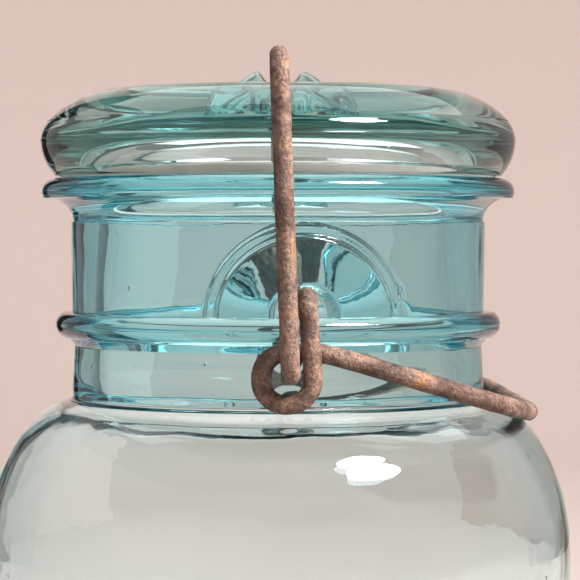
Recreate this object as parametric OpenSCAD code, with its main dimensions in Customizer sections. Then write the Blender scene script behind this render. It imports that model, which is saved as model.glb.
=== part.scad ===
// Quart canning jar of pressed glass with a glass lid, a rubber sealing ring
// and a two-wire toggle closure whose lever turns in sockets moulded on the neck.
// Z is up, the jar stands on z = 0, and the lever's handle points to +X.

/* [Jar body] */

// Outer radius of the body (mm)
body_r = 50.8; // [40:0.1:70]

// Height where the straight wall turns into the shoulder (mm)
shoulder_z = 104; // [70:0.5:150]

// Large radius of the shoulder curve (mm)
shoulder_big_r = 38.5; // [30:0.5:42]

// Small radius where the shoulder turns in to the neck (mm)
shoulder_small_r = 16; // [8:0.5:16]

// Thickness of the glass wall (mm)
wall = 2.8; // [2.2:0.1:4]

// Thickness of the glass floor (mm)
floor_t = 7; // [5:0.5:9]

// Radius of the rounded bottom edge (mm)
heel_r = 7; // [3:0.5:10]

// Height of the hollow under the base (mm)
push_up = 3; // [1:0.5:4]

/* [Neck and mouth] */

// Bore radius of the neck and mouth (mm)
mouth_r = 31.6; // [26:0.1:34]

// Thickness of the glass in the neck (mm)
neck_wall = 4; // [3:0.1:5]

// Height of the bead above the top of the shoulder (mm)
bead_rise = 12.4; // [11:0.1:18]

// Half thickness of the bead (mm)
bead_half = 2.4; // [1.5:0.1:3]

// How far the bead stands out from the neck (mm)
bead_out = 3; // [2:0.1:3.2]

// Height of the sealing ledge above the bead (mm)
ledge_rise = 25.1; // [23:0.1:34]

// How far the sealing ledge stands out from the neck (mm)
ledge_out = 5.4; // [4:0.1:5.6]

// Height of the lip above the sealing ledge (mm)
lip_h = 2; // [1:0.1:2.1]

// Thickness of the lip (mm)
lip_t = 1.6; // [1.2:0.1:2]

/* [Bosses and sockets] */

// Outer radius of the half-round boss (mm)
boss_r = 16; // [12:0.5:17]

// Width of the step round the boss (mm)
boss_step = 1.5; // [0.8:0.1:2.5]

// How far the boss's centre is from the jar's centre (mm)
boss_x = 4.3; // [3:0.1:6]

// Radius of the half-round socket (mm)
socket_r = 5.3; // [4.5:0.1:7]

// Depth of the socket (mm)
socket_depth = 4.5; // [3:0.1:4.8]

/* [Lid and ring] */

// How far the lid stands out past the sealing ledge (mm)
lid_over = 0.25; // [0:0.05:1]

// Height of the lid from its lower edge to its crown (mm)
lid_h = 15; // [13:0.5:20]

// Thickness of the lid's glass at the middle (mm)
lid_t = 8; // [6:0.5:9]

// Thickness of the rubber ring (mm)
ring_t = 2.5; // [2.2:0.1:4]

// Radial width of the rubber ring (mm)
ring_w = 4.1; // [3:0.1:4.3]

// Height of the two bumps that keep the bail in place (mm)
bump_h = 3.4; // [2:0.1:5]

// Length of the two bumps along the bail (mm)
bump_len = 17; // [10:0.5:24]

/* [Closure wires] */

// Diameter of the wire (mm)
wire_d = 3.2; // [2:0.1:3.4]

// Clearance between one layer of wire and the next (mm)
wire_gap = 0.15; // [0.1:0.05:0.4]

// Distance of the lever's pivot line from the boss's centre (mm)
pivot_dx = 0.5; // [0:0.1:1]

// Height of the lever's pivot line above the bead (mm)
pivot_rise = 3.5; // [2.5:0.1:3.6]

// How far the eye hangs below the pivot line (mm)
eye_drop = 12.2; // [11.5:0.1:14]

// How far the eye lies behind the pivot line (mm)
eye_back = 2.6; // [1.5:0.1:3.5]

// Clearance between the eyes and the shoulder (mm)
eye_clear = 0.3; // [0.2:0.1:2]

// Room for fingers between the neck and the lever's end (mm)
handle_room = 8.7; // [7:0.1:11]

// Clearance between the lever's end and the shoulder (mm)
lever_rest_gap = 0.3; // [0.2:0.1:1]

// Clearance between the bail's legs and the lid's rim (mm)
leg_clear = 2.3; // [0.8:0.1:4]

// Clearance between the bail and the lid when it is closed (mm)
bail_gap = 0.7; // [0.6:0.05:1.2]

// Height of the bail's corners above its dip (mm)
bail_dip = 1.2; // [0:0.1:3]

/* [Hidden] */

$fn = 96;
eps = 0.01;
wr = wire_d / 2;

// Jar heights
small_x = body_r - shoulder_big_r + (shoulder_big_r - shoulder_small_r) * cos(29.8);
small_z = shoulder_z + (shoulder_big_r - shoulder_small_r) * sin(29.8);
knee_z = shoulder_z + shoulder_big_r * sin(29.8);
neck_z = small_z + shoulder_small_r;
neck_r = mouth_r + neck_wall;

// Height of the shoulder's surface at radius r
function shoulder_at(r) =
    r <= small_x ? neck_z
    : small_z + sqrt(max(0, pow(shoulder_small_r, 2) - pow(r - small_x, 2)));

// The bead is high enough for the lever's eyes to clear the shoulder
eye_set = 0.6;
loop_r = wire_d * 1.3;
bead_r = neck_r + bead_out;
yoke_y = bead_r + wr - 1.25;
leg_y = yoke_y + wire_d + wire_gap;
loop_need = shoulder_at(leg_y - 2) + eye_clear + wr + loop_r + eye_set + eye_drop - pivot_rise;
bead_z = max(neck_z + bead_rise, loop_need - bead_half + 0.35);
bead_top = bead_z + bead_half - 0.35;
bead_c = bead_r - bead_half;
ledge_z = bead_z + ledge_rise;
ledge_r = neck_r + ledge_out;
ledge_round = 2.3;
ledge_low = ledge_z - 3.5;
ledge_fillet = 4;
lip_r = mouth_r + lip_t;

// Bosses, sockets and pivot line
boss_face = bead_r - 0.15;
socket_in = boss_face - socket_depth;
pivot_x = boss_x + pivot_dx;
pivot_z = bead_top + pivot_rise;

// Ring and lid
ring_in = lip_r + 0.1;
ring_out = ring_in + ring_w;
seat_z = ledge_z + ring_t;
lid_r = ledge_r + lid_over;
lid_z = ledge_z + 0.3;
crown_z = lid_z + lid_h;
skirt_in = ring_out + 0.3;
lid_low_r = 8.8;
lid_edge_r = 5;
lid_crown_r = 16;
lid_ang = 41.3;
lid_crown_x = lid_r - lid_edge_r - (lid_crown_r - lid_edge_r) * cos(lid_ang);
seam_z = crown_z - lid_crown_r + (lid_crown_r - lid_edge_r) * sin(lid_ang);
lid_tan_z = crown_z - lid_crown_r + lid_crown_r * sin(lid_ang);
under_z = seat_z + 0.6;
hollow_r = mouth_r - 1.2;
roof_rise = 0.75;
roof_z = crown_z - lid_t - roof_rise;
bail_reach = 0.25;
lever_reach = 0.45;
groove_x = 0.4;
bump_r = 2.65;
bump_x = wr + 0.2 + bump_r;

// Wire layers, measured from the jar's centre plane
bail_y = max(leg_y + wire_d + wire_gap, lid_r + wr + leg_clear);
eye_x = pivot_x - eye_back;
eye_z = pivot_z - eye_drop;
loop_x = eye_x - eye_set;
loop_z = eye_z - eye_set;
bail_low = crown_z + bail_gap + wr;
bail_top = bail_low + bail_dip;

// The lever's end lies on the shoulder's small curve
tip_x = neck_r + handle_room;
big_x = body_r - shoulder_big_r;
tip_arc = shoulder_small_r + wr + lever_rest_gap;
tip_z = small_z + sqrt(max(0, pow(tip_arc, 2) - pow(tip_x - small_x, 2)));

// Vector helpers for the wires
function unit(v) = v / norm(v);

function turn_at(p, i) = acos(max(-1, min(1, unit(p[i] - p[i - 1]) * unit(p[i + 1] - p[i]))));

function cut_at(p, r, i) = (i == 0 || i == len(p) - 1) ? 0 : r[i] * tan(turn_at(p, i) / 2);

// A round rod from a to b
module rod(a, b, r) {
    d = b - a;
    len = norm(d);
    az = atan2(d[1], d[0]);
    el = acos(d[2] / len);
    translate(a)
        rotate([0, el, az])
            cylinder(h = len, r = r);
}

// A quarter-ring style bend that leaves point c with direction u and turns
// by angle turn towards v, on centreline radius br
module bend(c, u, v, turn, br, r) {
    n = unit(cross(u, v));
    side = cross(n, u);
    o = c + side * br;
    m = [
        [-side[0], u[0], n[0], o[0]],
        [-side[1], u[1], n[1], o[1]],
        [-side[2], u[2], n[2], o[2]],
        [0, 0, 0, 1]
    ];
    multmatrix(m)
        rotate_extrude(angle = turn)
            translate([br, 0])
                circle(r = r);
}

// A wire along points p, with a bend of radius r[i] at each inner point. The
// straight runs are a hair thinner than the bends and run on into them by reach
module wire(p, r, wr, reach) {
    last = len(p) - 1;
    for (i = [0 : last - 1]) {
        u = unit(p[i + 1] - p[i]);
        a = p[i] + u * (i == 0 ? 0 : cut_at(p, r, i) - reach);
        b = p[i + 1] - u * (i == last - 1 ? 0 : cut_at(p, r, i + 1) - reach);
        rod(a, b, wr - 0.03);
    }
    for (i = [1 : last - 1]) {
        u = unit(p[i] - p[i - 1]);
        v = unit(p[i + 1] - p[i]);
        bend(p[i] - u * cut_at(p, r, i), u, v, turn_at(p, i), r[i], wr);
    }
}

// A path and its bend radii carried on to the other side of the XZ plane
function far_half(p) = [for (i = [len(p) - 1 : -1 : 0]) if (p[i][1] != 0) [p[i][0], -p[i][1], p[i][2]]];

function far_radii(p, r) = [for (i = [len(p) - 1 : -1 : 0]) if (p[i][1] != 0) r[i]];

// Both halves of a wire that is symmetrical about the XZ plane
module both_sides() {
    children();
    mirror([0, 1, 0])
        children();
}

// Half section of the shoulder and body, drawn inwards by inset
module body_section(inset, low) {
    r1 = shoulder_big_r - inset;
    r2 = shoulder_small_r - inset;
    square_to(body_r - inset, low, shoulder_z);
    intersection() {
        translate([big_x, shoulder_z])
            circle(r = r1);
        translate([0, shoulder_z - eps])
            square([body_r + 1, knee_z - shoulder_z - inset * sin(29.8) + eps]);
    }
    intersection() {
        translate([small_x, small_z])
            circle(r = r2);
        translate([small_x - 1, small_z])
            square([body_r, shoulder_small_r + 1]);
    }
    square_to(small_x, shoulder_z, small_z + r2);
}

// A rectangle from the axis out to r, between two heights
module square_to(r, low, high) {
    translate([0, low])
        square([r, high - low]);
}

module jar_section() {
    // Body, with a rounded heel
    difference() {
        body_section(0, 0);
        translate([body_r - heel_r, -1])
            square([heel_r + 1, heel_r + 1]);
    }
    translate([body_r - heel_r, heel_r])
        circle(r = heel_r);
    // Neck and ledge
    square_to(neck_r, neck_z - 3, ledge_z);
    translate([bead_c, bead_z])
        circle(r = bead_half);
    intersection() {
        translate([ledge_r - ledge_round, ledge_z - ledge_round])
            circle(r = ledge_round);
        translate([neck_r, ledge_low])
            square([ledge_out + 1, 4]);
    }
    translate([neck_r - 1, ledge_low])
        square([ledge_out - ledge_round + 1, ledge_z - ledge_low]);
    difference() {
        translate([neck_r - 1, ledge_low - ledge_fillet])
            square([ledge_fillet + 1, ledge_fillet + eps]);
        translate([neck_r + ledge_fillet, ledge_low - ledge_fillet])
            circle(r = ledge_fillet);
    }
    // Lip
    translate([mouth_r - 0.5, ledge_z - 1])
        square([lip_t + 0.5, lip_h + 1 - lip_t / 2]);
    translate([lip_r - lip_t / 2, ledge_z + lip_h - lip_t / 2])
        circle(r = lip_t / 2);
}

module cavity_section() {
    corner = heel_r + 3;
    top = neck_z - wall;
    difference() {
        body_section(wall, floor_t);
        translate([body_r - wall - corner, floor_t - 1])
            square([corner + 1, corner + 1]);
    }
    translate([body_r - wall - corner, floor_t + corner])
        circle(r = corner);
    square_to(mouth_r, top - 2, ledge_z + lip_h + 1);
    // Rounded corner where the neck opens into the body
    difference() {
        translate([mouth_r - 1, top - eps])
            square([4, 3]);
        translate([mouth_r + 3, top + 3])
            circle(r = 3);
    }
}

// One half-round boss on the -Y side
module boss_disc(r, face) {
    intersection() {
        translate([boss_x, 0, bead_top - 1])
            rotate([90, 0, 0])
                cylinder(h = bead_r + 2, r = r);
        translate([0, 0, bead_top - 1])
            cylinder(h = r + 1, r = face);
    }
}

module jar() {
    color([0.62, 0.78, 0.80, 0.45])
        difference() {
            union() {
                rotate_extrude()
                    jar_section();
                both_sides() {
                    difference() {
                        union() {
                            boss_disc(boss_r, boss_face - boss_step);
                            boss_disc(boss_r - boss_step, boss_face);
                        }
                        cylinder(h = neck_z * 2, r = neck_r - 1.5);
                    }
                }
            }
            rotate_extrude()
                cavity_section();
            // Sockets for the lever's ends, with a flat floor level with the bead
            both_sides() {
                intersection() {
                    translate([boss_x, 1 - socket_in - 1, bead_top])
                        rotate([90, 0, 0])
                            cylinder(h = socket_depth + 4, r = socket_r);
                    translate([boss_x - 10, -bead_r - 10, bead_top])
                        cube([20, bead_r + 10, 12]);
                }
            }
            // Hollow under the base
            base_r = (pow(body_r - heel_r - 6, 2) + pow(push_up, 2)) / (2 * push_up);
            translate([0, 0, push_up - base_r])
                sphere(r = base_r, $fn = 200);
        }
}

module lid_section() {
    // Lower edge, curving in to the skirt
    intersection() {
        translate([lid_r - lid_low_r, seam_z])
            circle(r = lid_low_r);
        translate([lid_r - lid_low_r, lid_z])
            square([lid_low_r + 1, seam_z - lid_z]);
    }
    square_to(lid_r - lid_low_r + eps, lid_z, seam_z + eps);
    // Small curve above the mould seam
    intersection() {
        translate([lid_r - lid_edge_r, seam_z])
            circle(r = lid_edge_r);
        translate([lid_r - lid_edge_r, seam_z - eps])
            square([lid_edge_r + 1, lid_tan_z - seam_z + eps]);
    }
    square_to(lid_r - lid_edge_r + eps, seam_z - eps, lid_tan_z);
    // Large curve up to the crown
    intersection() {
        translate([lid_crown_x, crown_z - lid_crown_r])
            circle(r = lid_crown_r);
        translate([lid_crown_x, lid_tan_z - eps])
            square([lid_crown_r, crown_z - lid_tan_z + 1]);
    }
    square_to(lid_crown_x + eps, lid_tan_z - eps, crown_z);
}

module lid() {
    color([0.55, 0.70, 0.68, 0.5])
        difference() {
            union() {
                rotate_extrude()
                    lid_section();
                // Two bumps that keep the bail in its groove
                for (side = [-1, 1])
                    bump(side);
            }
            // Seat for the ring
            translate([0, 0, lid_z - 1])
                cylinder(h = seat_z - lid_z + 1, r = skirt_in);
            // Clearance over the lip
            translate([0, 0, seat_z - 1])
                cylinder(h = under_z - seat_z + 1, r = lip_r - 0.2);
            // Hollow underside, with a steep wall and a roof that rises to the middle
            translate([0, 0, under_z - 1])
                cylinder(h = roof_z - under_z + 1, r = hollow_r);
            translate([0, 0, roof_z - eps])
                cylinder(h = roof_rise + eps, r1 = hollow_r, r2 = 1);
        }
}

// A rounded ridge along Y beside the groove
module bump(side) {
    arch = (pow(bump_len / 2, 2) + pow(bump_h, 2)) / (2 * bump_h);
    translate([groove_x + side * bump_x, 0, crown_z])
        intersection() {
            union() {
                translate([0, bump_len, bump_h - bump_r])
                    rotate([90, 0, 0])
                        cylinder(h = 2 * bump_len, r = bump_r);
                translate([-bump_r + 0.1, -bump_len, bump_h - bump_r - 6])
                    cube([2 * bump_r - 0.2, 2 * bump_len, 6]);
            }
            translate([-bump_r - 1, 0, bump_h - arch])
                rotate([0, 90, 0])
                    cylinder(h = 2 * bump_r + 2, r = arch);
            translate([-bump_r - 1, -bump_len, -1.5])
                cube([2 * bump_r + 2, 2 * bump_len, bump_h + 4]);
        }
}

module rubber_ring() {
    color([0.80, 0.76, 0.68])
        rotate_extrude()
            difference() {
                translate([ring_in, ledge_z])
                    square([ring_w, ring_t]);
                translate([ring_out - 0.5, ledge_z + ring_t / 2 - 0.35])
                    square([1, 0.7]);
            }
}

module top_bail() {
    hook_in = neck_r + 1.1;
    half = [
        [eye_x, -hook_in, eye_z],
        [eye_x, -bail_y, eye_z],
        [groove_x, -bail_y, bail_top],
        [groove_x, -bail_y + 15, bail_top - 0.2],
        [groove_x, -bump_len / 2 - 1.5, bail_low]
    ];
    bends = [0, 2.6, 4.5, 9, 9];
    color([0.42, 0.31, 0.24])
        wire(concat(half, far_half(half)), concat(bends, far_radii(half, bends)), wr, bail_reach);
}

module lever() {
    right = loop_x + loop_r;
    left = loop_x - loop_r;
    half = [
        [pivot_x, -socket_in - 0.5, pivot_z],
        [pivot_x, -leg_y, pivot_z],
        [right, -leg_y, loop_z + 1],
        [right, -leg_y + 0.3, loop_z - loop_r],
        [left, -leg_y + 1.4, loop_z - loop_r],
        [left, -yoke_y - 0.4, loop_z + loop_r],
        [right + 2, -yoke_y, loop_z + loop_r - 0.3],
        [tip_x - 6, -yoke_y + 9, tip_z + 2.9],
        [tip_x, 0, tip_z]
    ];
    lb = loop_r - 0.06;
    bends = [0, 3, 6, lb, lb, lb, 12, 8, 30];
    color([0.42, 0.31, 0.24])
        wire(concat(half, far_half(half)), concat(bends, far_radii(half, bends)), wr, lever_reach);
}

jar();
lid();
rubber_ring();
top_bail();
lever();
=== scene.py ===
import math

import bmesh
import bpy
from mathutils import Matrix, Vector, noise


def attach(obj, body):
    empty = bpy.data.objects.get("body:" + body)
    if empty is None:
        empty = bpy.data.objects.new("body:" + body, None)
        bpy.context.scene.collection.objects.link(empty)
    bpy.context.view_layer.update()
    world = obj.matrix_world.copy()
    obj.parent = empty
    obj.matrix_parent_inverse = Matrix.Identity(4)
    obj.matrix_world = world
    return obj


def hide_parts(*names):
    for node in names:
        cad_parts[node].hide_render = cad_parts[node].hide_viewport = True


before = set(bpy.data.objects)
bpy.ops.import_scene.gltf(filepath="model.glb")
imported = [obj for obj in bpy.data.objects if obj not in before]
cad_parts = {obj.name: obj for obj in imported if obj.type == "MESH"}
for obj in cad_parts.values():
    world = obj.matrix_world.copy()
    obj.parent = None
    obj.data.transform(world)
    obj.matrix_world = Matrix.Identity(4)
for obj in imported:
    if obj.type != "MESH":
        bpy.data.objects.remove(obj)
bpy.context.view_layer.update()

MM = 0.001
MM_PER_M = 1000.0
scene = bpy.context.scene

# ---------------------------------------------------------------- camera
cam_data = bpy.data.cameras.new("camera")
cam = bpy.data.objects.new("camera", cam_data)
scene.collection.objects.link(cam)
scene.camera = cam
cam_data.sensor_width = 36.0
cam_data.lens = 156.85
cam_data.clip_start = 0.01
cam_data.clip_end = 20.0
cam.location = (0.0021, -0.440, 0.160)
cam.rotation_euler = (math.radians(90.0 - 1.385), 0.0, 0.0)

# ---------------------------------------------------------------- sizes, in mm
body_r, wall, floor_t, heel_r, push_up = 50.8, 2.8, 7.0, 7.0, 3.0
big_r, small_r, turn = 38.5, 16.0, 29.8
shoulder_z = 104.0
big_x = body_r - big_r
small_x = big_x + (big_r - small_r) * math.cos(math.radians(turn))
small_z = shoulder_z + (big_r - small_r) * math.sin(math.radians(turn))
neck_z = small_z + small_r
mouth_r, neck_r = 31.6, 35.6
bead_z = neck_z + 12.4
bead_half, bead_r = 2.4, 38.6
bead_c = bead_r - bead_half
bead_top = bead_z + 2.05
ledge_z = bead_z + 25.1
ledge_r, ledge_round, ledge_low, ledge_fillet = 41.0, 2.3, ledge_z - 3.5, 4.0
lip_r = 33.2
boss_x, boss_r, boss_face, socket_r = 4.3, 16.0, 38.45, 5.3
boss_step = 1.85
socket_in = boss_face - 4.5
pivot_x, pivot_z = boss_x + 0.5, bead_top + 3.5
ring_in, ring_out, seat_z = lip_r + 0.1, lip_r + 4.2, ledge_z + 2.5
lid_r, lid_z = 41.25, ledge_z + 0.3
crown_z = lid_z + 15.0
crown_r, edge_r, crown_turn = 16.0, 5.0, 41.3
seam_z = crown_z - crown_r + (crown_r - edge_r) * math.sin(math.radians(crown_turn))
crown_x = lid_r - edge_r - (crown_r - edge_r) * math.cos(math.radians(crown_turn))
skirt_r, flat_r, lid_t = 37.7, 12.0, 8.0
bump_peak, bump_steep, bump_gentle = 3.9, 2.3, 5.0
bump_half, bump_h = 8.7, 3.35
groove_x = 0.4
wr = 1.6
yoke_y = bead_r + wr - 1.25
wire_gap = 0.15
leg_y = yoke_y + 2 * wr + wire_gap
bail_y = max(leg_y + 2 * wr + wire_gap, lid_r + wr + 2.3)
eye_x, eye_z = pivot_x - 2.6, pivot_z - 12.2
loop_x, loop_z, loop_r = eye_x - 0.6, eye_z - 0.6, 2.6 * wr
bail_low = crown_z + 0.7 + wr
bail_top = bail_low + 1.2
tip_x = neck_r + 8.7
tip_z = small_z + math.sqrt((small_r + wr + 0.3) ** 2 - (tip_x - small_x) ** 2)


# ---------------------------------------------------------------- mesh helpers
def smooth(a, b, x):
    """Rises from 0 at a to 1 at b, level at both ends."""
    t = min(1.0, max(0.0, (x - a) / (b - a)))
    return t * t * (3.0 - 2.0 * t)


def arc(cx, cz, r, a0, a1, n):
    """n steps round (cx, cz), from a0 to a1 degrees."""
    out = []
    for i in range(n + 1):
        a = math.radians(a0 + (a1 - a0) * i / n)
        out.append((cx + r * math.cos(a), cz + r * math.sin(a)))
    return out


def line(a, b, n):
    return [(a[0] + (b[0] - a[0]) * i / n, a[1] + (b[1] - a[1]) * i / n) for i in range(n + 1)]


def tidy(points):
    """Drops each point that all but coincides with the one before."""
    out = [points[0]]
    for p in points[1:]:
        if math.hypot(p[0] - out[-1][0], p[1] - out[-1][1]) > 0.02:
            out.append(p)
    return out


def lathe(points, steps, ring=False):
    """Spins a half section, in mm, round Z. A ring's section is a closed loop."""
    bm = bmesh.new()
    verts = [bm.verts.new((x * MM, 0.0, z * MM)) for x, z in points]
    edges = [bm.edges.new((a, b)) for a, b in zip(verts, verts[1:])]
    if ring:
        edges.append(bm.edges.new((verts[-1], verts[0])))
    bmesh.ops.spin(bm, geom=verts + edges, cent=(0, 0, 0), axis=(0, 0, 1), angle=math.tau,
                   steps=steps, use_merge=True)
    bmesh.ops.remove_doubles(bm, verts=bm.verts, dist=1e-6)
    bmesh.ops.recalc_face_normals(bm, faces=bm.faces)
    return bm


def finish_mesh(name, bm, body, nodes, mat, sharp=40.0):
    """Makes the piece, which rides on body and replaces nodes. Edges over sharp degrees stay crisp."""
    for f in bm.faces:
        f.smooth = True
    limit = math.radians(sharp)
    for e in bm.edges:
        if e.is_manifold and e.calc_face_angle(0.0) > limit:
            e.smooth = False
    me = bpy.data.meshes.new(name)
    bm.to_mesh(me)
    bm.free()
    ob = bpy.data.objects.new(name, me)
    scene.collection.objects.link(ob)
    me.materials.append(mat)
    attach(ob, body)
    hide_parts(*nodes)
    return ob


def wave(co, size, stretch, seed):
    """Slow unevenness, about size mm across and stretch times as tall."""
    p = Vector((co.x / size, co.y / size, co.z / (size * stretch))) + Vector((seed, seed * 1.7, -seed))
    return noise.noise(p)


# ---------------------------------------------------------------- materials
def new_material(name):
    mat = bpy.data.materials.new(name)
    mat.use_nodes = True
    nt = mat.node_tree
    nt.nodes.clear()
    out = nt.nodes.new("ShaderNodeOutputMaterial")
    bsdf = nt.nodes.new("ShaderNodeBsdfPrincipled")
    nt.links.new(bsdf.outputs[0], out.inputs["Surface"])
    coord = nt.nodes.new("ShaderNodeTexCoord")
    return mat, nt, bsdf, coord.outputs["Object"]


def noise_tex(nt, vec, scale, detail=3.0, rough=0.55, distortion=0.0):
    n = nt.nodes.new("ShaderNodeTexNoise")
    n.inputs["Scale"].default_value = scale
    n.inputs["Detail"].default_value = detail
    n.inputs["Roughness"].default_value = rough
    n.inputs["Distortion"].default_value = distortion
    nt.links.new(vec, n.inputs["Vector"])
    return n.outputs["Fac"]


def ramp(nt, fac, stops):
    n = nt.nodes.new("ShaderNodeValToRGB")
    el = n.color_ramp.elements
    while len(el) < len(stops):
        el.new(0.5)
    for e, (pos, col) in zip(el, stops):
        e.position = pos
        e.color = (*col, 1.0)
    nt.links.new(fac, n.inputs["Fac"])
    return n.outputs["Color"]


def math_node(nt, op, a, b=None):
    n = nt.nodes.new("ShaderNodeMath")
    n.operation = op
    for i, v in enumerate((a, b)):
        if v is None:
            continue
        if isinstance(v, (int, float)):
            n.inputs[i].default_value = v
        else:
            nt.links.new(v, n.inputs[i])
    return n.outputs[0]


def glass(name, per_mm, bump=0.12, seeds=0.5, cells_per_m=150.0):
    """Tinted glass: per_mm is what a millimetre takes off, in red, green and blue."""
    mat, nt, bsdf, obj = new_material(name)
    bsdf.inputs["Base Color"].default_value = (1, 1, 1, 1)
    bsdf.inputs["Roughness"].default_value = 0.012
    bsdf.inputs["IOR"].default_value = 1.5
    bsdf.inputs["Transmission Weight"].default_value = 1.0
    density = max(per_mm) * MM_PER_M
    vol = nt.nodes.new("ShaderNodeVolumeAbsorption")
    vol.inputs["Color"].default_value = (*[1.0 - k * MM_PER_M / density for k in per_mm], 1.0)
    vol.inputs["Density"].default_value = density
    nt.links.new(vol.outputs[0], nt.nodes["Material Output"].inputs["Volume"])
    slow = noise_tex(nt, obj, 55.0, 2.0, 0.5, 0.3)
    fine = noise_tex(nt, obj, 420.0, 2.0, 0.5)
    cells = nt.nodes.new("ShaderNodeTexVoronoi")
    cells.inputs["Scale"].default_value = cells_per_m
    nt.links.new(obj, cells.inputs["Vector"])
    spot = ramp(nt, cells.outputs["Distance"], [(0.0, (1, 1, 1)), (0.035, (1, 1, 1)), (0.075, (0, 0, 0))])
    pick = ramp(nt, cells.outputs["Color"], [(0.0, (0, 0, 0)), (0.62, (0, 0, 0)), (0.66, (1, 1, 1))])
    dots = math_node(nt, "MULTIPLY", spot, pick)
    h = math_node(nt, "ADD", slow, math_node(nt, "MULTIPLY", fine, 0.05))
    h = math_node(nt, "ADD", h, math_node(nt, "MULTIPLY", dots, seeds))
    b = nt.nodes.new("ShaderNodeBump")
    b.inputs["Strength"].default_value = bump
    b.inputs["Distance"].default_value = 0.001
    nt.links.new(h, b.inputs["Height"])
    nt.links.new(b.outputs[0], bsdf.inputs["Normal"])
    return mat


def rusty(name, seed):
    """Dull rusted steel wire: slow patches of colour, fine grain, and pits."""
    mat, nt, bsdf, obj = new_material(name)
    mp = nt.nodes.new("ShaderNodeMapping")
    mp.inputs["Location"].default_value = (seed, seed * 0.7, -seed)
    nt.links.new(obj, mp.inputs["Vector"])
    v = mp.outputs[0]
    patch = noise_tex(nt, v, 120.0, 5.0, 0.65, 0.6)
    grain = noise_tex(nt, v, 1500.0, 3.0, 0.65)
    pits = noise_tex(nt, v, 2600.0, 2.0, 0.5)
    col = ramp(nt, patch, [
        (0.34, (0.045, 0.028, 0.022)), (0.43, (0.085, 0.052, 0.040)), (0.52, (0.150, 0.102, 0.082)),
        (0.61, (0.175, 0.108, 0.074)), (0.68, (0.230, 0.120, 0.052)), (0.75, (0.110, 0.066, 0.048))])
    speck = ramp(nt, grain, [
        (0.36, (0.22, 0.18, 0.17)), (0.50, (0.50, 0.48, 0.47)), (0.62, (0.86, 0.80, 0.75))])
    mix = nt.nodes.new("ShaderNodeMix")
    mix.data_type = "RGBA"
    mix.blend_type = "OVERLAY"
    mix.inputs["Factor"].default_value = 0.70
    nt.links.new(col, mix.inputs["A"])
    nt.links.new(speck, mix.inputs["B"])
    nt.links.new(mix.outputs["Result"], bsdf.inputs["Base Color"])
    rough = ramp(nt, grain, [(0.3, (0.48, 0.48, 0.48)), (0.65, (0.72, 0.72, 0.72))])
    nt.links.new(rough, bsdf.inputs["Roughness"])
    bsdf.inputs["Metallic"].default_value = 0.15
    b = nt.nodes.new("ShaderNodeBump")
    b.inputs["Strength"].default_value = 0.8
    b.inputs["Distance"].default_value = 0.0003
    nt.links.new(math_node(nt, "ADD", grain, math_node(nt, "ADD", patch, pits)), b.inputs["Height"])
    nt.links.new(b.outputs[0], bsdf.inputs["Normal"])
    return mat


def rubber(name):
    """Pale old rubber, faintly mottled."""
    mat, nt, bsdf, obj = new_material(name)
    n = noise_tex(nt, obj, 300.0, 4.0, 0.6)
    col = ramp(nt, n, [(0.3, (0.70, 0.67, 0.62)), (0.7, (0.84, 0.81, 0.76))])
    nt.links.new(col, bsdf.inputs["Base Color"])
    bsdf.inputs["Roughness"].default_value = 0.75
    b = nt.nodes.new("ShaderNodeBump")
    b.inputs["Strength"].default_value = 0.3
    b.inputs["Distance"].default_value = 0.0003
    nt.links.new(n, b.inputs["Height"])
    nt.links.new(b.outputs[0], bsdf.inputs["Normal"])
    return mat


jar_mat = glass("jar_glass", (0.094, 0.021, 0.012))
body_mat = glass("jar_glass_thin", (0.050, 0.014, 0.010))
lid_mat = glass("lid_glass", (0.0215, 0.0098, 0.0102), 0.07, 2.6, 330.0)
bail_mat = rusty("bail_rust", 0.0)
lever_mat = rusty("lever_rust", 0.37)
ring_mat = rubber("ring_rubber")


# ---------------------------------------------------------------- jar
base_r = ((body_r - heel_r - 6.0) ** 2 + push_up ** 2) / (2.0 * push_up)
foot = math.degrees(math.asin((body_r - heel_r - 6.0) / base_r))
outer = arc(0.0, push_up - base_r, base_r, 90.0, 90.0 - foot, 14)
outer += arc(body_r - heel_r, heel_r, heel_r, -90.0, 0.0, 12)
outer += line((body_r, heel_r), (body_r, shoulder_z), 14)
outer += arc(big_x, shoulder_z, big_r, 0.0, turn, 16)
outer += arc(small_x, small_z, small_r, turn, 74.0, 20)
outer += arc(neck_r + 0.9, neck_z + 0.35, 0.9, 255.0, 180.0, 4)
outer += line((35.75, neck_z + 0.8), (35.35, bead_z - 3.6), 10)
outer += arc(bead_c, bead_z, bead_half, -88.0, 57.5, 16)
outer += [(36.9, bead_top + 0.04)]
outer += line((35.75, bead_top + 0.16), (35.95, ledge_low - ledge_fillet), 46)
outer += arc(neck_r + ledge_fillet, ledge_low - ledge_fillet, ledge_fillet, 178.0, 92.0, 10)
outer += arc(ledge_r - ledge_round, ledge_z - ledge_round, ledge_round, -28.0, 90.0, 14)
outer += line((ledge_r - ledge_round, ledge_z), (lip_r + 0.3, ledge_z), 6)
outer += arc(lip_r - 0.8, ledge_z + 1.2, 0.8, 0.0, 180.0, 10)

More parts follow.
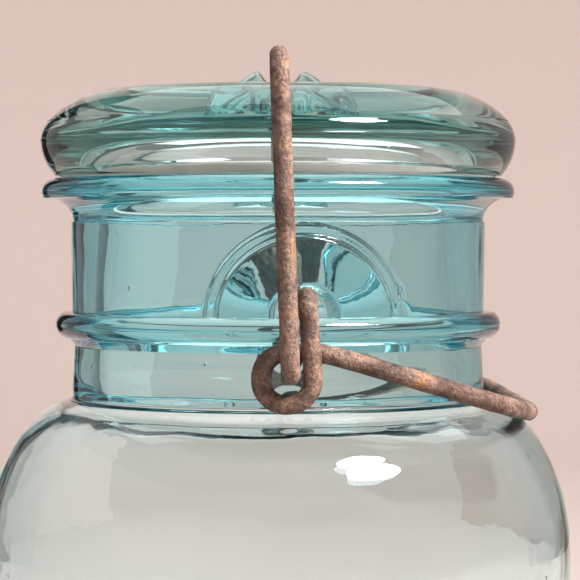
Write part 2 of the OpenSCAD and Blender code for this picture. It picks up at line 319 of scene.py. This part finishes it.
# The neck's inside opens into the shoulder's along an arc that touches both
flare = 10.0
flare_x = mouth_r + 0.7 + flare
reach = small_r - wall + flare
flare_z = small_z + math.sqrt(reach ** 2 - (flare_x - small_x) ** 2)
meet = math.degrees(math.acos((flare_x - small_x) / reach))
inner = line((mouth_r, ledge_z + 1.0), (mouth_r, bead_z), 14)
inner += line((mouth_r + 0.1, bead_z - 1.5), (mouth_r + 0.68, flare_z + 0.8), 6)
inner += arc(flare_x, flare_z, flare, 180.0, 180.0 + meet, 14)
inner += arc(small_x, small_z, small_r - wall, meet, turn, 12)
inner += arc(big_x, shoulder_z, big_r - wall, turn, 0.0, 12)
inner += line((body_r - wall, shoulder_z), (body_r - wall, floor_t + 10.0), 14)
inner += arc(body_r - wall - 10.0, floor_t + 10.0, 10.0, 0.0, -90.0, 10)
inner += line((body_r - wall - 10.5, floor_t), (0.0, floor_t), 8)

jar_steps = 320
bm = lathe(tidy(outer + inner), jar_steps)

# Closer rows round each boss, and wider ones between them
zone, share = 26.0, 96 / jar_steps
centres = (-83.5, 83.5)
knots_a = [-180.0, centres[0] - zone, centres[0] + zone, centres[1] - zone, centres[1] + zone, 180.0]
gaps = [knots_a[i + 1] - knots_a[i] for i in range(5)]
free = gaps[0] + gaps[2] + gaps[4]
shares = [share if i in (1, 3) else (1 - 2 * share) * gaps[i] / free for i in range(5)]
knots_t = [0.0]
for s in shares:
    knots_t.append(knots_t[-1] + s)


def remap(a):
    """The angle, in degrees, to which an evenly spaced row moves."""
    t = (a + 180.0) / 360.0
    for i in range(5):
        if t <= knots_t[i + 1] + 1e-9:
            return knots_a[i] + gaps[i] * (t - knots_t[i]) / shares[i]
    return a


# Bosses and sockets are pressed into the neck, and the glass gets its unevenness
for v in bm.verts:
    r, z = math.hypot(v.co.x, v.co.y) / MM, v.co.z / MM
    if r < 0.01:
        continue
    a = math.radians(remap(math.degrees(math.atan2(v.co.y, v.co.x))))
    ca, sa = math.cos(a), math.sin(a)
    if bead_top - 0.3 < z < ledge_low and r > mouth_r + 1.5:
        w = z - bead_top
        rho = math.hypot(36.2 * ca - boss_x, 1.045 * max(w, 0.0))
        up = smooth(-0.05, 0.08, w)
        r += up * max(0.0, boss_face - boss_step - r) * (1.0 - smooth(boss_r - 0.45, boss_r + 0.25, rho))
        dome = boss_face - 1.4 * (min(rho, 14.6) / 14.3) ** 3
        r += up * max(0.0, dome - r) * (1.0 - smooth(boss_r - 2.3, boss_r - 1.7, rho))
        rho = math.hypot(37.6 * ca - boss_x, max(w, 0.0))
        r += smooth(-0.02, 0.1, w) * (socket_in - r) * (1.0 - smooth(socket_r - 0.3, socket_r + 0.2, rho))
    p = Vector((r * ca, r * sa, z))
    inside = r < mouth_r + 1.6 or (z > floor_t - 0.5 and r < body_r - 2.0 and z < neck_z - wall + 1.0)
    if inside and z < ledge_z - 4.0:
        k = 0.26 if z > floor_t + 0.5 else 0.12
        k *= 1.0 - 0.55 * smooth(90.0, 106.0, z) * (1.0 - smooth(118.0, 128.0, z))
        r += k * wave(p, 22.0, 1.6, 3.1) + 0.6 * k * wave(p, 9.0, 2.2, 8.4)
    elif z < neck_z:
        r -= 0.10 * abs(wave(p, 26.0, 1.4, 5.2)) * smooth(6.0, 14.0, z)
    v.co = Vector((r * ca, r * sa, z)) * MM
jar = finish_mesh("jar_body", bm, "vessel", ["jar"], jar_mat)

# Below the neck the glass is thinner and takes off less
jar.data.materials.append(body_mat)
for f in jar.data.polygons:
    f.material_index = 1 if f.center.z / MM < neck_z - 0.9 else 0

# ---------------------------------------------------------------- lid
top = line((0.0, crown_z), (flat_r, crown_z), 34)
top += line((flat_r, crown_z), (crown_x, crown_z), 12)
top += arc(crown_x, crown_z - crown_r, crown_r, 90.0, crown_turn, 16)
top += arc(lid_r - 5.1, seam_z, edge_r, crown_turn, 2.5, 10)
top += [(lid_r, seam_z + 0.14), (lid_r, seam_z - 0.14)]
top += arc(lid_r - 8.9, seam_z, 8.8, -2.0, -44.5, 14)
top += arc(skirt_r + 0.45, lid_z + 0.42, 0.4, -60.0, -180.0, 6)
top += line((skirt_r, lid_z + 0.6), (skirt_r, seat_z - 0.1), 3)
top += line((skirt_r - 0.1, seat_z), (lip_r - 0.1, seat_z), 4)
top += line((lip_r - 0.25, seat_z + 0.1), (lip_r - 0.25, seat_z + 0.5), 2)
top += line((lip_r - 0.4, seat_z + 0.6), (31.4, seat_z + 0.62), 3)
top += arc(31.0, seat_z + 1.1, 0.45, -60.0, -170.0, 4)
top += line((30.5, seat_z + 1.5), (30.3, seat_z + 2.1), 3)
top += arc(28.5, seat_z + 2.25, 1.8, 4.0, 86.0, 8)
top += line((28.0, seat_z + 4.1), (0.0, crown_z - lid_t), 12)
bm = lathe(tidy(top), 256)

# Two bumps on top, one on each side of the groove for the wire, steep towards it
for v in bm.verts:
    x, y, z = v.co.x / MM, v.co.y / MM, v.co.z / MM
    r = math.hypot(x, y)
    if z > crown_z - 0.01 and r < flat_r + 0.5:
        h = 0.0
        for side in (-1, 1):
            dx = (x - groove_x) * side - bump_peak
            foot_w = bump_steep if dx < 0 else bump_gentle
            a = max(0.0, 1.0 - (abs(dx) / foot_w) ** 1.5)
            b = max(0.0, 1.0 - (abs(y) / bump_half) ** 3.0)
            h = max(h, bump_h * a * (b ** 0.8))
        z += h
    elif z > crown_z - 17.0 and r > flat_r + 0.5 and z > seat_z + 2.0:
        p = Vector((x, y, z))
        z -= 0.06 * abs(wave(p, 18.0, 1.0, 1.3))
    v.co = Vector((x, y, z)) * MM
finish_mesh("glass_lid", bm, "lid", ["lid"], lid_mat)

# ---------------------------------------------------------------- ring
lo, hi = ledge_z + 0.03, seat_z - 0.03
sec = arc(ring_out - 0.5, lo + 0.5, 0.5, -90.0, 0.0, 4) + arc(ring_out - 0.5, hi - 0.5, 0.5, 0.0, 90.0, 4)
sec += arc(ring_in + 0.4, hi - 0.4, 0.4, 90.0, 180.0, 4) + arc(ring_in + 0.4, lo + 0.4, 0.4, 180.0, 270.0, 4)
bm = lathe(tidy(sec), 160, ring=True)
finish_mesh("sealing_ring", bm, "vessel", ["rubber_ring"], ring_mat)


# ---------------------------------------------------------------- wires
def rounded(points, radii, step=0.9):
    """A path of straight runs and round bends, in mm."""
    pts = [Vector(p) for p in points]
    out = [pts[0]]
    for i in range(1, len(pts) - 1):
        u, v = (pts[i] - pts[i - 1]).normalized(), (pts[i + 1] - pts[i]).normalized()
        ang = u.angle(v)
        cut = radii[i] * math.tan(ang / 2)
        a = pts[i] - u * cut
        side = (v - u * u.dot(v)).normalized()
        o = a + side * radii[i]
        n = max(4, int(radii[i] * ang / step * 1.6))
        gap = (a - out[-1]).length
        m = max(2, int(gap / 2.0))
        for k in range(1, m):
            out.append(out[-1].lerp(a, 1.0 / (m - k + 1)))
        for k in range(n + 1):
            t = ang * k / n
            out.append(o - side * radii[i] * math.cos(t) + u * radii[i] * math.sin(t))
    gap = (pts[-1] - out[-1]).length
    m = max(2, int(gap / 2.0))
    start = out[-1]
    for k in range(1, m + 1):
        out.append(start.lerp(pts[-1], k / m))
    keep = [out[0]]
    for p in out[1:]:
        if (p - keep[-1]).length > 0.25:
            keep.append(p)
    return keep


def mirrored(half, bends):
    """Both halves of a path and its bends, symmetrical about the XZ plane."""
    far = [(p, b) for p, b in zip(reversed(half), reversed(bends)) if p[1] != 0]
    return half + [(x, -y, z) for (x, y, z), _ in far], bends + [b for _, b in far]


def wire(name, half, bends, body, cad_node, mat, seed):
    """A pitted round wire along a path, of which half is given."""
    pts, radii = mirrored(half, bends)
    path = rounded(pts, radii)
    cu = bpy.data.curves.new(name + "_path", "CURVE")
    cu.dimensions = "3D"
    cu.bevel_depth = (wr - 0.03) * MM
    cu.bevel_resolution = 6
    cu.use_fill_caps = True
    cu.twist_mode = "MINIMUM"
    sp = cu.splines.new("POLY")
    sp.points.add(len(path) - 1)
    for q, p in zip(sp.points, path):
        q.co = (p.x * MM, p.y * MM, p.z * MM, 1.0)
    tmp = bpy.data.objects.new(name + "_tmp", cu)
    scene.collection.objects.link(tmp)
    bpy.context.view_layer.update()
    me = bpy.data.meshes.new_from_object(tmp.evaluated_get(bpy.context.evaluated_depsgraph_get()))
    bpy.data.objects.remove(tmp)
    bm = bmesh.new()
    bm.from_mesh(me)
    bpy.data.meshes.remove(me)
    bmesh.ops.remove_doubles(bm, verts=bm.verts, dist=1e-6)
    bmesh.ops.recalc_face_normals(bm, faces=bm.faces)
    bm.normal_update()
    for v in bm.verts:
        p = v.co / MM
        d = 0.05 * noise.noise(p / 2.2 + Vector((seed, 0, 0))) + 0.035 * noise.noise(p / 0.9)
        v.co += v.normal * (min(0.03, d - 0.02) * MM)
    finish_mesh(name, bm, body, [cad_node], mat, 50.0)


hook_in = neck_r + 1.1
wire("top_wire", [
    (eye_x, -hook_in, eye_z), (eye_x, -bail_y, eye_z), (groove_x, -bail_y, bail_top),
    (groove_x, -bail_y + 15.0, bail_top - 0.2), (groove_x, -10.0, bail_low)],
    [0, 2.6, 4.5, 9, 9], "bail", "top_bail", bail_mat, 2.0)
right, left = loop_x + loop_r, loop_x - loop_r
loop_bend = loop_r - 0.06
wire("lever_wire", [
    (pivot_x, -socket_in - 0.5, pivot_z), (pivot_x, -leg_y, pivot_z), (right, -leg_y, loop_z + 1.0),
    (right, -leg_y + 0.3, loop_z - loop_r), (left, -leg_y + 1.4, loop_z - loop_r),
    (left, -yoke_y - 0.4, loop_z + loop_r), (right + 2.0, -yoke_y, loop_z + loop_r - 0.3),
    (tip_x - 6.0, -yoke_y + 9.0, tip_z + 2.9), (tip_x, 0.0, tip_z)],
    [0, 3, 6, loop_bend, loop_bend, loop_bend, 12, 8, 30], "lever", "lever", lever_mat, 5.0)

# ---------------------------------------------------------------- floor and backdrop
def stage_material(name, colour):
    mat, nt, bsdf, obj = new_material(name)
    n = noise_tex(nt, obj, 3.0, 3.0, 0.5)
    c = ramp(nt, n, [(0.0, tuple(0.98 * k for k in colour)), (1.0, colour)])
    nt.links.new(c, bsdf.inputs["Base Color"])
    bsdf.inputs["Roughness"].default_value = 0.9
    bsdf.inputs["Specular IOR Level"].default_value = 0.1
    return mat


paint = (0.620, 0.530, 0.496)
sweep = [(0.0, 0.0), (1300.0, 0.0)] + arc(1300.0, 500.0, 500.0, -90.0, 0.0, 16) + [(1800.0, 1500.0)]
bm = lathe(tidy(sweep), 96)
bmesh.ops.reverse_faces(bm, faces=bm.faces)
for f in bm.faces:
    f.smooth = True
me = bpy.data.meshes.new("floor_sweep")
bm.to_mesh(me)
bm.free()
floor = bpy.data.objects.new("floor_sweep", me)
scene.collection.objects.link(floor)
me.materials.append(stage_material("stage_paint", paint))


# ---------------------------------------------------------------- light
def area(name, az, el, dist, w, h, power, colour, target=(0, 0, 0.13)):
    """az is measured from the camera's side (-Y) towards +X, in degrees."""
    d = bpy.data.lights.new(name, "AREA")
    d.shape = "RECTANGLE"
    d.size, d.size_y, d.energy, d.color = w, h, power, colour
    o = bpy.data.objects.new(name, d)
    a, e = math.radians(az), math.radians(el)
    t = Vector(target)
    pos = t + Vector((math.sin(a) * math.cos(e), -math.cos(a) * math.cos(e), math.sin(e))) * dist
    o.location = pos
    o.rotation_euler = (t - pos).to_track_quat("-Z", "Y").to_euler()
    scene.collection.objects.link(o)
    return o


def hide_in_glass(light):
    """Keeps a light out of what the glass mirrors and shows."""
    light.visible_glossy = False
    light.visible_transmission = False


daylight, warm = (1.0, 0.99, 0.97), (1.0, 0.97, 0.95)
key = area("key_window", az=47.0, el=51.0, dist=1.2, w=0.44, h=0.20, power=15.0, colour=daylight)
key.data.shape = "ELLIPSE"
low = area("key_window_low", az=48.5, el=43.4, dist=1.2, w=0.44, h=0.17, power=7.0, colour=daylight)
low.data.shape = "ELLIPSE"
side = area("side_right", az=88.0, el=24.0, dist=1.4, w=0.5, h=1.0, power=14.0, colour=(1.0, 0.985, 0.98))
hide_in_glass(side)
wire_light = area("wire_light", az=82.0, el=24.0, dist=0.55, w=0.10, h=0.20, power=0.8, colour=warm,
                  target=(0.01, -0.04, 0.15))
hide_in_glass(wire_light)
wire_light.data.spread = math.radians(50.0)
area("overhead", az=170.0, el=66.0, dist=1.7, w=2.2, h=1.6, power=18.0, colour=warm, target=(0, 0.25, 0.1))


def card(name, paint, place, w, h):
    """A flat card that shows only in and through the glass; place gives a flat point its spot in the room."""
    bm = bmesh.new()
    bmesh.ops.create_grid(bm, x_segments=4, y_segments=4, size=0.5)
    for v in bm.verts:
        v.co = place(v.co.x * w, v.co.y * h)
    me = bpy.data.meshes.new(name)
    bm.to_mesh(me)
    bm.free()
    o = bpy.data.objects.new(name, me)
    scene.collection.objects.link(o)
    me.materials.append(paint)
    o.visible_camera = False
    o.visible_shadow = False
    o.visible_diffuse = False


def upright(name, paint, az, dist, w, h):
    """A card that stands on the floor and faces the jar; az is as for a light."""
    a = math.radians(az)
    ca, sa = math.cos(a), math.sin(a)
    card(name, paint, lambda x, y: (sa * dist + ca * x, sa * x - ca * dist, h / 2 + y), w, h)


def grey_card():
    """Painted like the floor straight behind the jar, and grey further round: the grey is painted shade of
    the room, seen only in and through the glass.
    """
    mat, nt, bsdf, obj = new_material("grey_card")
    axes = nt.nodes.new("ShaderNodeSeparateXYZ")
    nt.links.new(obj, axes.inputs[0])
    turned = math_node(nt, "ABSOLUTE", math_node(nt, "ARCTAN2", axes.outputs["X"], axes.outputs["Y"]))
    shade = ramp(nt, turned, [(0.20, paint), (0.46, (0.34, 0.32, 0.31))])
    nt.links.new(shade, bsdf.inputs["Base Color"])
    bsdf.inputs["Roughness"].default_value = 0.9
    return mat


# Near-black paint for cards seen only in and through the glass: painted shade
dark = stage_material("painted_shade_card", (0.020, 0.024, 0.030))
grey = grey_card()
# Cards on both sides behind the jar, grey further round as painted shade of the room; they show only in and
# through the glass
upright("grey_left", grey, az=-142.0, dist=0.95, w=1.10, h=0.9)
upright("grey_right", grey, az=144.0, dist=0.95, w=1.00, h=0.9)
# A standing card at the left as painted shade, and a sheet on the floor to the left as a painted floor
# shadow, both seen only in the glass
upright("flag_left", dark, az=-152.0, dist=0.80, w=0.17, h=0.9)
card("floor_left_painted_shadow", dark, lambda x, y: (x - 0.20, y + 0.01, 0.002), w=0.16, h=0.30)

world = bpy.data.worlds.new("room")
scene.world = world
world.use_nodes = True
sky = world.node_tree.nodes["Background"]
sky.inputs["Color"].default_value = (0.80, 0.76, 0.73, 1.0)
sky.inputs["Strength"].default_value = 0.30

scene.view_settings.view_transform = "Standard"
scene.view_settings.look = "None"
scene.cycles.max_bounces = 24
scene.cycles.transmission_bounces = 20
scene.cycles.glossy_bounces = 8
scene.cycles.diffuse_bounces = 4
scene.cycles.transparent_max_bounces = 8
scene.cycles.volume_bounces = 0
scene.cycles.sample_clamp_indirect = 8.0
scene.cycles.use_denoising = True
scene.cycles.denoiser = "OPENIMAGEDENOISE"
